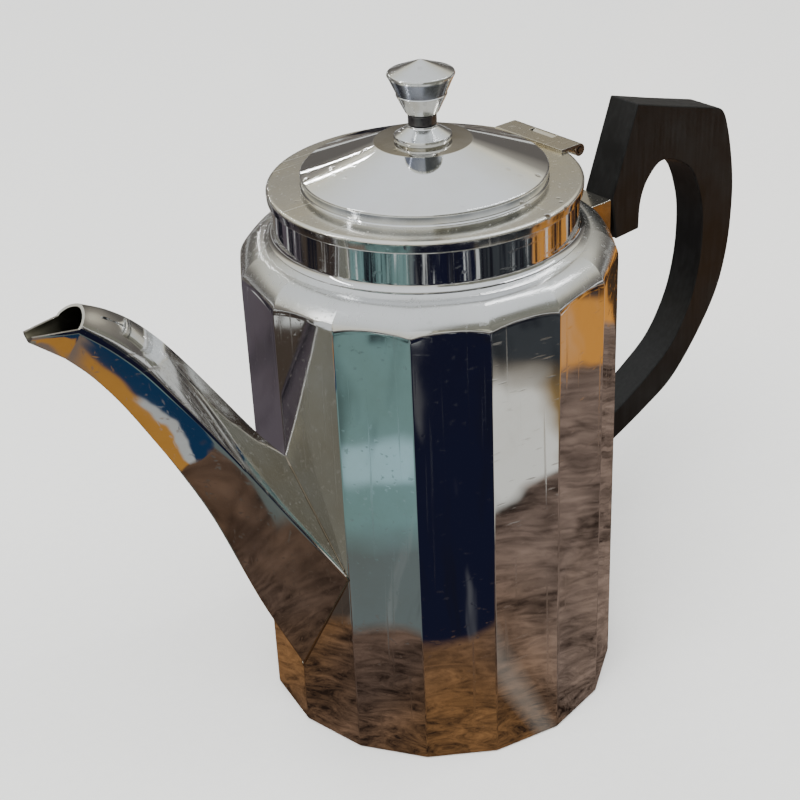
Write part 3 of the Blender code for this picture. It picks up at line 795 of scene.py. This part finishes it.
def make_seam(ridge, crease, keel):
    """The bead of solder where the spout meets the body: a closed loop of small rings."""
    mirror = (crease[0], -crease[1], crease[2])
    corners = [Vector(corner) for corner in (ridge, crease, keel, mirror)]
    route = []
    for i, corner in enumerate(corners):
        following = corners[(i + 1) % 4]
        route += [corner.lerp(following, step / SEAM_STEPS) for step in range(SEAM_STEPS)]
    rows = []
    for i, here in enumerate(route):
        along = (route[(i + 1) % len(route)] - route[i - 1]).normalized()
        out = Vector((here.x, here.y, 0.0)).normalized()
        side = along.cross(out).normalized()
        out = side.cross(along)
        swell = SEAM_RADIUS * (1.0 + 0.12 * math.sin(i * 1.9))
        ring = []
        for k in range(SEAM_SIDES):
            angle = 2 * math.pi * k / SEAM_SIDES
            ring.append(here + (out * math.cos(angle) + side * math.sin(angle)) * swell)
        rows.append(ring)
    mesh = mesh_from(skin(rows, close_along=True), "spout_seam")
    finish_piece("spout_seam", mesh, SEAM_SILVER, "pot")


# ---------------------------------------------------------------- handle and sockets

def carve(mesh, tool, operation="DIFFERENCE", inside=None):
    """Cut or join two closed meshes and give back the result; a cut can leave its own material inside."""
    if inside:
        tool.materials.append(inside)
    item = placed("carved", mesh)
    cutter = placed("tool", tool)
    modifier = item.modifiers.new("cut", "BOOLEAN")
    modifier.solver = "EXACT"
    modifier.operation = operation
    modifier.material_mode = "TRANSFER"
    modifier.object = cutter
    result = applied(item)
    for each in (item, cutter):
        bpy.data.objects.remove(each)
    bpy.data.meshes.remove(mesh)
    bpy.data.meshes.remove(tool)
    return result


def block(low, high):
    """A box from its two corners, as a mesh."""
    outline = [(low[0], low[2]), (high[0], low[2]), (high[0], high[2]), (low[0], high[2])]
    return mesh_from(plate(outline, low[1], high[1]), "block")


def seat():
    """The body's sixteen-sided outside, drawn in a little, so that a socket beds into the wall."""
    radius = BODY_RADIUS - SEAT_SINK
    shape = bmesh.new()
    ends = []
    for z in (CUT_LOW, CUT_HIGH):
        ring = []
        for k in range(SIDES):
            angle = 2 * HALF_FACE * k
            ring.append(shape.verts.new((radius * math.cos(angle), radius * math.sin(angle), z)))
        ends.append(ring)
    for i in range(SIDES):
        j = (i + 1) % SIDES
        shape.faces.new((ends[0][i], ends[0][j], ends[1][j], ends[1][i]))
    shape.faces.new(ends[0])
    shape.faces.new(ends[1])
    return mesh_from(shape, "seat")


def pin_bore(centre, radius):
    """A round cutter along Y for a pin's hole."""
    return mesh_from(plate(arc(centre, radius, radius, 0, 360, 32)[:-1], -CROSS_CUT, CROSS_CUT), "bore")


SEAT_SINK = 0.1 * MM
SOCKET_START = 3 * MM
TENON_HALF = 3.5 * MM
TENON_ROOT = 4 * MM
POCKET_WALL = 1.3 * MM
POCKET_DEPTH = 8.5 * MM
PIN_HOLE = 1.3 * MM
SOCKET_SILVER = silver("socket_silver", (0.80, 0.78, 0.72), (0.62, 0.53, 0.38), 0.8, 0.15, 0.00008, pits=0.6)
# Painted shade: near black for the socket's sides and pocket walls, with real tarnish patches and pits
SOCKET_SIDE_SHADE = silver("socket_side", (0.09, 0.08, 0.07), (0.62, 0.48, 0.26), 1.0, 0.16, 0.0004, pits=1.0)


def make_socket(node):
    """A socket with its pocket and pin hole; gives back the tenon and bore that its handle end needs."""
    low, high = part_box(node)
    reach = high.x
    mesh = block((BODY_RADIUS - SOCKET_START, low.y, low.z), (reach, high.y, high.z))
    mesh = carve(mesh, seat())
    pocket = block((reach - POCKET_DEPTH, -TENON_HALF - GAP, low.z + POCKET_WALL),
                   (reach + CUT_PAST, TENON_HALF + GAP, high.z - POCKET_WALL))
    mesh = carve(mesh, pocket)
    centre = (reach - POCKET_DEPTH / 2, (low.z + high.z) / 2)
    mesh = carve(mesh, pin_bore(centre, PIN_HOLE))
    # The sides that look along Y get the painted shade
    shade_the_sides(mesh, SOCKET_SILVER, SOCKET_SIDE_SHADE)
    finish_piece(node.replace("socket", "ferrule"), mesh, None, "pot", node,
                 smooth=30, bevel=0.22 * MM)
    tenon = block((reach - POCKET_DEPTH + GAP, -TENON_HALF, low.z + POCKET_WALL + GAP),
                  (reach + TENON_ROOT, TENON_HALF, high.z - POCKET_WALL - GAP))
    return tenon, pin_bore(centre, PIN_HOLE)


CHIN = (2.2 * MM, -0.3 * MM)
ROUND_OVER = 0.7 * MM


def make_handle():
    """The black grip with its two tenons, cut from one outline, and the sockets that hold it."""
    upper_low, upper_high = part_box("upper_socket")
    lower_low, lower_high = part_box("lower_socket")
    upper_face = upper_high.x + GAP
    lower_face = lower_high.x + GAP
    outer = smooth_route([(0.1103, 0.1479), (0.1145, 0.1445), (0.1184, 0.1314), (0.1202, 0.1160),
                          (0.1186, 0.0970), (0.1125, 0.0810), (0.0975, 0.0625), (0.0830, 0.0542),
                          (lower_face, lower_low.z)], 10)
    inner = smooth_route([(lower_face, lower_high.z), (0.0707, 0.0588), (0.0837, 0.0658), (0.0945, 0.0735),
                          (0.1020, 0.0850), (0.1055, 0.0970), (0.1064, 0.1090), (0.1050, 0.1200),
                          (0.0995, 0.1315), (0.0880, 0.1372), (0.0815, 0.1336), (0.0783, 0.1270),
                          (0.0777, 0.1184)], 10)
    front = [Vector((upper_face + CHIN[0], upper_low.z + CHIN[1])), Vector((upper_face, upper_high.z)),
             Vector((0.0756, 0.1578)), Vector((0.0905, 0.1534))]
    outline = [(p.x, p.y) for p in outer + inner + front]
    half = HANDLE_HIGH.y
    mesh = bevelled(mesh_from(plate(outline, -half, half), "handle"), ROUND_OVER)
    for node in ("upper_socket", "lower_socket"):
        tenon, bore = make_socket(node)
        mesh = carve(mesh, tenon, "UNION")
        mesh = carve(mesh, bore)
    finish_piece("handle_grip", mesh, BLACK_WOOD, "pot", "handle", smooth=40)


def bevelled(mesh, width):
    """Round the sharp edges of a mesh and give back the result."""
    item = placed("bevelled", mesh)
    modifier = item.modifiers.new("edges", "BEVEL")
    modifier.width = width
    modifier.segments = 4
    modifier.limit_method = "ANGLE"
    modifier.angle_limit = math.radians(50)
    result = applied(item)
    bpy.data.objects.remove(item)
    bpy.data.meshes.remove(mesh)
    return result


def dress(node, material):
    """A CAD node keeps its shape and gets the better material."""
    frame["nodes"][node].data.materials.clear()
    frame["nodes"][node].data.materials.append(material)


# ---------------------------------------------------------------- stage, light and camera

FLOOR_HALF = 40.0
FLOOR_Z = -0.1 * MM
CARD_HALF = 3.0
CARD_Z = -0.05 * MM


def make_floor():
    """A pale, plain floor that reaches past every reflection."""
    mesh = bpy.data.meshes.new("floor")
    shape = bmesh.new()
    plan = ((-1, -1), (1, -1), (1, 1), (-1, 1))
    shape.faces.new([shape.verts.new((x * FLOOR_HALF, y * FLOOR_HALF, FLOOR_Z)) for x, y in plan])
    shape.to_mesh(mesh)
    shape.free()
    floor = placed("floor", mesh)
    n = Nodes("pale_floor")
    grain = n.noise(n.place(), 300.0, 4.0)
    n.put(n.shader.inputs["Base Color"], n.blend(grain, (0.84, 0.84, 0.83, 1), (0.88, 0.88, 0.87, 1)))
    n.shader.inputs["Roughness"].default_value = 0.9
    mesh.materials.append(n.material)


def reflected_only(name, mesh, z):
    """Put a card in the studio that shows only in reflections."""
    card = placed(name, mesh)
    card.location.z = z
    for ray in ("camera", "diffuse", "shadow", "transmission", "volume_scatter"):
        setattr(card, "visible_" + ray, False)
    return card


def sheet(name, low, high, material):
    """One flat face between two (x, y) corners."""
    mesh = bpy.data.meshes.new(name)
    shape = bmesh.new()
    corners = ((low[0], low[1]), (high[0], low[1]), (high[0], high[1]), (low[0], high[1]))
    shape.faces.new([shape.verts.new((x, y, 0.0)) for x, y in corners])
    shape.to_mesh(mesh)
    shape.free()
    mesh.materials.append(material)
    return mesh


def glowing(n, colour, alpha=None):
    """Turn a node tree into plain light of one colour, clear where alpha is 0."""
    n.tree.nodes.remove(n.shader)
    glow = n.add("ShaderNodeEmission", {"Color": colour, "Strength": 1.0})
    surface = glow.outputs[0]
    if alpha is not None:
        clear = n.add("ShaderNodeBsdfTransparent")
        mix = n.add("ShaderNodeMixShader", {0: alpha, 1: clear.outputs[0], 2: surface})
        surface = mix.outputs[0]
    n.tree.links.new(surface, n.tree.nodes["Material Output"].inputs["Surface"])
    return n.material


def fur_colour(n, x, y, across, bearing):
    """Brown streaky hide, from near black to tan, with a pale painted gleam."""
    tufts = n.noise(n.place((22.0, 34.0, 1.0), (0, 0, 0.5)), 1.0, 3.0, 0.6, 0.8)
    round_pot = n.add("ShaderNodeCombineXYZ", {0: n.math("MULTIPLY", n.math("DIVIDE", x, across), 4.4),
                                               1: n.math("MULTIPLY", n.math("DIVIDE", y, across), 4.4),
                                               2: n.math("MULTIPLY", across, 190.0)})
    hair = n.noise(round_pot.outputs[0], 1.0, 6.0, 0.8, 1.6)
    warm = n.noise(n.place((9.0, 9.0, 1.0)), 1.0, 1.0)
    tone = n.math("ADD", n.math("MULTIPLY", tufts, 0.45), n.math("MULTIPLY", hair, 0.75))
    light = n.blend(n.span(warm, 0.42, 0.60), (0.17, 0.11, 0.08, 1), (0.30, 0.15, 0.06, 1))
    light = n.blend(n.span(bearing, -10, 12), light, (0.30, 0.215, 0.17, 1))
    fur = n.blend(n.span(tone, 0.47, 0.73), (0.020, 0.012, 0.009, 1), light)
    # Painted highlight: a pale gleam across the hide near bearing -4
    gleam = n.math("ABSOLUTE", n.math("ADD", bearing, 4.0))
    return n.blend(n.span(gleam, 5.0, 1.0, 0.0, 0.22), fur, (0.60, 0.55, 0.48, 1))


def make_card():
    """A glowing card on the floor, seen only in the pot's reflections, painted with what they show: brown
    close by, mixed colours beyond.
    """
    n = Nodes("card")
    coordinates = n.add("ShaderNodeTexCoord").outputs["Object"]
    split = n.add("ShaderNodeSeparateXYZ", {0: coordinates})
    x, y = split.outputs[0], split.outputs[1]
    across = n.math("SQRT", n.math("ADD", n.math("MULTIPLY", x, x), n.math("MULTIPLY", y, y)))
    bearing = n.math("DEGREES", n.math("ARCTAN2", x, n.math("MULTIPLY", y, -1.0)))
    wobble = n.noise(n.place((11, 11, 11)), 1.0, 3.0, 0.6)
    polar = n.add("ShaderNodeCombineXYZ", {0: n.math("MULTIPLY", bearing, 0.22),
                                           1: n.math("MULTIPLY", across, 5.0)})
    streak = n.noise(polar.outputs[0], 1.0, 3.0, 0.6)
    swirl = n.math("ADD", bearing, n.math("MULTIPLY", n.math("SUBTRACT", wobble, 0.5), 9.0))
    bend = n.math("ADD", across, n.math("MULTIPLY", n.math("SUBTRACT", wobble, 0.5), 0.06))
    far = n.blend(wobble, (0.10, 0.08, 0.07, 1), (0.26, 0.24, 0.21, 1))
    for centre, half, near, away, soft, colour in CARD_PATCHES:
        swing = n.math("ABSOLUTE", n.math("SUBTRACT", swirl, centre))
        swing = n.math("MINIMUM", swing, n.math("SUBTRACT", 360.0, swing))
        mask = n.span(swing, half + 1, half - 1)
        mask = n.math("MULTIPLY", mask, n.span(bend, near - soft, near + soft))
        mask = n.math("MULTIPLY", mask, n.span(bend, away + soft, away - soft))
        far = n.blend(mask, far, (*colour, 1))
    bars = n.add("ShaderNodeCombineXYZ", {0: n.math("MULTIPLY", bearing, 0.15),
                                          1: n.math("MULTIPLY", across, 1.2)})
    bars = n.noise(bars.outputs[0], 1.0, 4.0, 0.7)
    distant = n.span(across, 0.302, 0.308)
    far = n.blend(n.math("MULTIPLY", distant, n.span(bars, 0.50, 0.44)), far, (0.012, 0.012, 0.018, 1))
    far = n.blend(n.math("MULTIPLY", distant, n.span(bars, 0.585, 0.61)), far, (0.75, 0.78, 0.76, 1))
    far = n.blend(n.span(streak, 0.30, 0.46, 0.6, 0.0), far, (0.01, 0.01, 0.012, 1))
    far = n.blend(n.span(streak, 0.60, 0.70, 0.0, 0.16), far, (0.55, 0.55, 0.52, 1))
    turn = n.math("COSINE", n.math("RADIANS", n.math("SUBTRACT", bearing, 82.0)))
    edge = n.span(turn, -0.35, 0.95, 0.104, 0.245)
    by_spout = n.math("ABSOLUTE", n.math("ADD", bearing, 81.0))
    edge = n.math("ADD", edge, n.span(by_spout, 6.0, 4.0, 0.0, 0.035))
    ragged = n.math("MULTIPLY", n.math("SUBTRACT", wobble, 0.5), 0.05)
    inside = n.math("SUBTRACT", edge, n.math("ADD", across, ragged))
    colour = n.blend(n.span(inside, -0.003, 0.003), far, fur_colour(n, x, y, across, bearing))
    mesh = sheet("card", (-CARD_HALF, -CARD_HALF), (CARD_HALF, CARD_HALF), glowing(n, colour))
    reflected_only("card", mesh, CARD_Z)


SPOUT_CARD_LOW = (-0.135, -0.027)
SPOUT_CARD_HIGH = (-0.084, 0.012)
SPOUT_CARD_Z = 0.095


def make_spout_card():
    """A small glowing card under the spout, seen only in its lower faces: a painted reflection in blue, white
    and orange.
    """
    n = Nodes("spout_card")
    split = n.add("ShaderNodeSeparateXYZ", {0: n.add("ShaderNodeTexCoord").outputs["Object"]})
    x, y = split.outputs[0], split.outputs[1]
    wobble = n.math("SUBTRACT", n.noise(n.place((90, 90, 90)), 1.0, 2.0, 0.5), 0.5)
    lane = n.math("ADD", y, n.math("MULTIPLY", n.math("ADD", x, 0.092), -0.3))
    lane = n.math("ADD", lane, n.math("MULTIPLY", wobble, 0.006))
    colour = n.blend(n.span(lane, -0.0088, -0.0080), (0.010, 0.035, 0.085, 1), (0.44, 0.21, 0.045, 1))
    white = n.math("MULTIPLY", n.span(lane, -0.0092, -0.0086), n.span(lane, -0.0064, -0.0070))
    white = n.math("MULTIPLY", white, n.span(x, -0.107, -0.105))
    colour = n.blend(white, colour, (0.45, 0.46, 0.45, 1))
    tip = n.span(n.math("ADD", x, n.math("MULTIPLY", wobble, 0.01)), -0.1135, -0.1165)
    colour = n.blend(tip, colour, (0.20, 0.15, 0.12, 1))
    shown = n.span(n.math("ADD", x, n.math("MULTIPLY", wobble, 0.02)), -0.0870, -0.0885)
    material = glowing(n, colour, shown)
    mesh = sheet("spout_card", SPOUT_CARD_LOW, SPOUT_CARD_HIGH, material)
    reflected_only("spout_card", mesh, SPOUT_CARD_Z)


BOARD_HALF = (0.75, 0.24)
BOARD_PLACE = (0.139, -0.788)
BOARD_Z = 0.40
BOARD_TURN = 10


def make_board():
    """A dim glowing board standing off in front, seen only in reflections beside the spout: a painted
    reflection with paler folds.
    """
    n = Nodes("board")
    fold = n.noise(n.place((7.0, 2.2, 1.0), (0, 0, 0.35)), 1.0, 3.0, 0.55, 1.2)
    cloud = n.noise(n.place((5.0, 5.0, 1.0)), 1.0, 3.0)
    colour = n.blend(cloud, (0.11, 0.11, 0.09, 1), (0.34, 0.335, 0.28, 1))
    colour = n.blend(n.span(fold, 0.58, 0.62), colour, (0.62, 0.60, 0.46, 1))
    half_width, half_height = BOARD_HALF
    mesh = sheet("board", (-half_width, -half_height), (half_width, half_height), glowing(n, colour))
    board = reflected_only("board", mesh, BOARD_Z)
    board.location.x, board.location.y = BOARD_PLACE
    board.rotation_euler = (math.pi / 2, 0.0, math.radians(BOARD_TURN))


# bearing and half width in degrees, nearest and farthest distance, softness (metres), colour
CARD_PATCHES = (
    (-163, 22, 0.0, 0.9, 0.006, (0.105, 0.088, 0.102)),
    (-118, 22, 0.0, 0.9, 0.006, (0.065, 0.050, 0.040)),
    (-112, 5, 0.10, 0.24, 0.01, (0.20, 0.19, 0.15)),
    (-73, 22, 0.0, 0.9, 0.006, (0.17, 0.285, 0.275)),
    (-73, 22, 0.0, 0.155, 0.012, (0.125, 0.15, 0.145)),
    (-71, 5, 0.195, 0.222, 0.004, (0.36, 0.56, 0.60)),
    (-28, 22, 0.0, 0.9, 0.006, (0.009, 0.010, 0.026)),
    (17, 22, 0.0, 0.9, 0.006, (0.26, 0.17, 0.07)),
    (7, 10, 0.0, 0.262, 0.012, (0.78, 0.77, 0.70)),
    (17, 22, 0.262, 0.9, 0.010, (0.045, 0.05, 0.055)),
    (62, 22, 0.0, 0.9, 0.006, (0.62, 0.27, 0.055)),
    (107, 22, 0.0, 0.9, 0.006, (0.70, 0.30, 0.06)),
    (-50, 1.5, 0.0, 0.9, 0.006, (0.16, 0.19, 0.19)),
    (84, 2.5, 0.0, 0.9, 0.006, (0.55, 0.52, 0.48)),
)


# The sky's colour by height, tipped a little towards the front left
SKY_LEAN = (-0.16, -0.20, 1.0)
SKY_STOPS = ((0.0, (0.13, 0.12, 0.11)), (0.16, (0.32, 0.30, 0.26)), (0.26, (0.86, 0.82, 0.67)),
             (0.36, (0.84, 0.84, 0.76)), (0.62, (0.94, 0.97, 0.98)), (1.0, (1.04, 1.07, 1.09)))
LAMP_AIM = Vector((0, 0, 0.1))
WHITE = (1.0, 1.0, 1.0)
SOFT_WHITE = (1.0, 0.99, 0.97)

# name, place, size, power, tint, and whether reflections see it
LAMPS = (
    ("key", (-0.9, -0.5, 1.5), (1.2, 1.2), 42, SOFT_WHITE, False),
    ("fill", (1.3, -0.9, 1.2), (1.0, 1.0), 14, SOFT_WHITE, False),
    ("back", (0.4, 1.4, 1.3), (1.0, 1.0), 12, SOFT_WHITE, False),
    ("strip_low", (0.51, 1.45, 0.68), (0.004, 0.30), 0.22, WHITE, True),
    ("strip_high", (0.38, 1.40, 0.95), (0.004, 0.30), 0.22, WHITE, True),
    ("strip_left", (-1.3, 0.5, 0.9), (0.04, 1.2), 2.2, WHITE, True),
    ("strip_right", (0.9, -0.2, 1.4), (0.05, 1.0), 2.6, WHITE, True),
)


def make_lights():
    """Soft white studio: brighter overhead, warm grey low down, and narrow strips for highlights."""
    world = bpy.data.worlds.new("studio")
    world.use_nodes = True
    bpy.context.scene.world = world
    tree = world.node_tree
    direction, ramp, lean, path, seen = (tree.nodes.new("ShaderNode" + kind) for kind in
                                         ("TexCoord", "ValToRGB", "VectorMath", "LightPath", "Mix"))
    lean.operation = "DOT_PRODUCT"
    lean.inputs[1].default_value = SKY_LEAN
    seen.data_type = "RGBA"
    seen.inputs[7].default_value = (0.80, 0.80, 0.79, 1)
    for start, end in ((direction.outputs["Generated"], lean.inputs[0]),
                       (lean.outputs["Value"], ramp.inputs[0]),
                       (path.outputs["Is Camera Ray"], seen.inputs[0]),
                       (ramp.outputs[0], seen.inputs[6]),
                       (seen.outputs[2], tree.nodes["Background"].inputs["Color"])):
        tree.links.new(start, end)
    for i, (place, colour) in enumerate(SKY_STOPS):
        stop = ramp.color_ramp.elements[i] if i < 2 else ramp.color_ramp.elements.new(place)
        stop.position = place
        stop.color = (*colour, 1)
    for name, place, size, power, tint, mirrored in LAMPS:
        lamp = bpy.data.lights.new(name, "AREA")
        lamp.shape = "RECTANGLE"
        lamp.size, lamp.size_y = size
        lamp.energy = power
        lamp.color = tint
        item = placed(name, lamp)
        item.location = place
        item.rotation_euler = (Vector(place) - LAMP_AIM).to_track_quat("Z", "Y").to_euler()
        item.visible_glossy = mirrored


CAMERA_TARGET = Vector((-0.0072, 0.0057, 0.0881))
CAMERA_DISTANCE = 0.4671
CAMERA_BEARING = -38.18
CAMERA_RISE = 29.47
CAMERA_ROLL = -2.67
CAMERA_LENS = 73.875


def make_camera():
    """Looks down on the spout side, three quarters round, with the small tilt of a hand-held picture."""
    camera = bpy.data.cameras.new("camera")
    camera.sensor_width = 36.0
    camera.lens = CAMERA_LENS
    camera.clip_start = 0.01
    bearing, rise, roll = (math.radians(angle) for angle in (CAMERA_BEARING, CAMERA_RISE, CAMERA_ROLL))
    back = Vector((math.sin(bearing) * math.cos(rise), -math.cos(bearing) * math.cos(rise), math.sin(rise)))
    right = Vector((0, 0, 1)).cross(back).normalized()
    up = back.cross(right)
    right, up = (right * math.cos(roll) + up * math.sin(roll), up * math.cos(roll) - right * math.sin(roll))
    item = placed("camera", camera)
    turn = Matrix((right, up, back)).transposed().to_4x4()
    item.matrix_world = Matrix.Translation(CAMERA_TARGET + back * CAMERA_DISTANCE) @ turn
    bpy.context.scene.camera = item


make_body()
make_collar()
make_lid()
make_finial()
make_hinge()
make_spout()
make_handle()
dress("base_plate", PANEL_SILVER)
for node in ("upper_pin", "lower_pin"):
    dress(node, SOCKET_SILVER)
for node in ("hinge_pin", "finial_stud", "finial_nut"):
    dress(node, DARK_METAL)
make_floor()
make_card()
make_spout_card()
make_board()
make_lights()
make_camera()
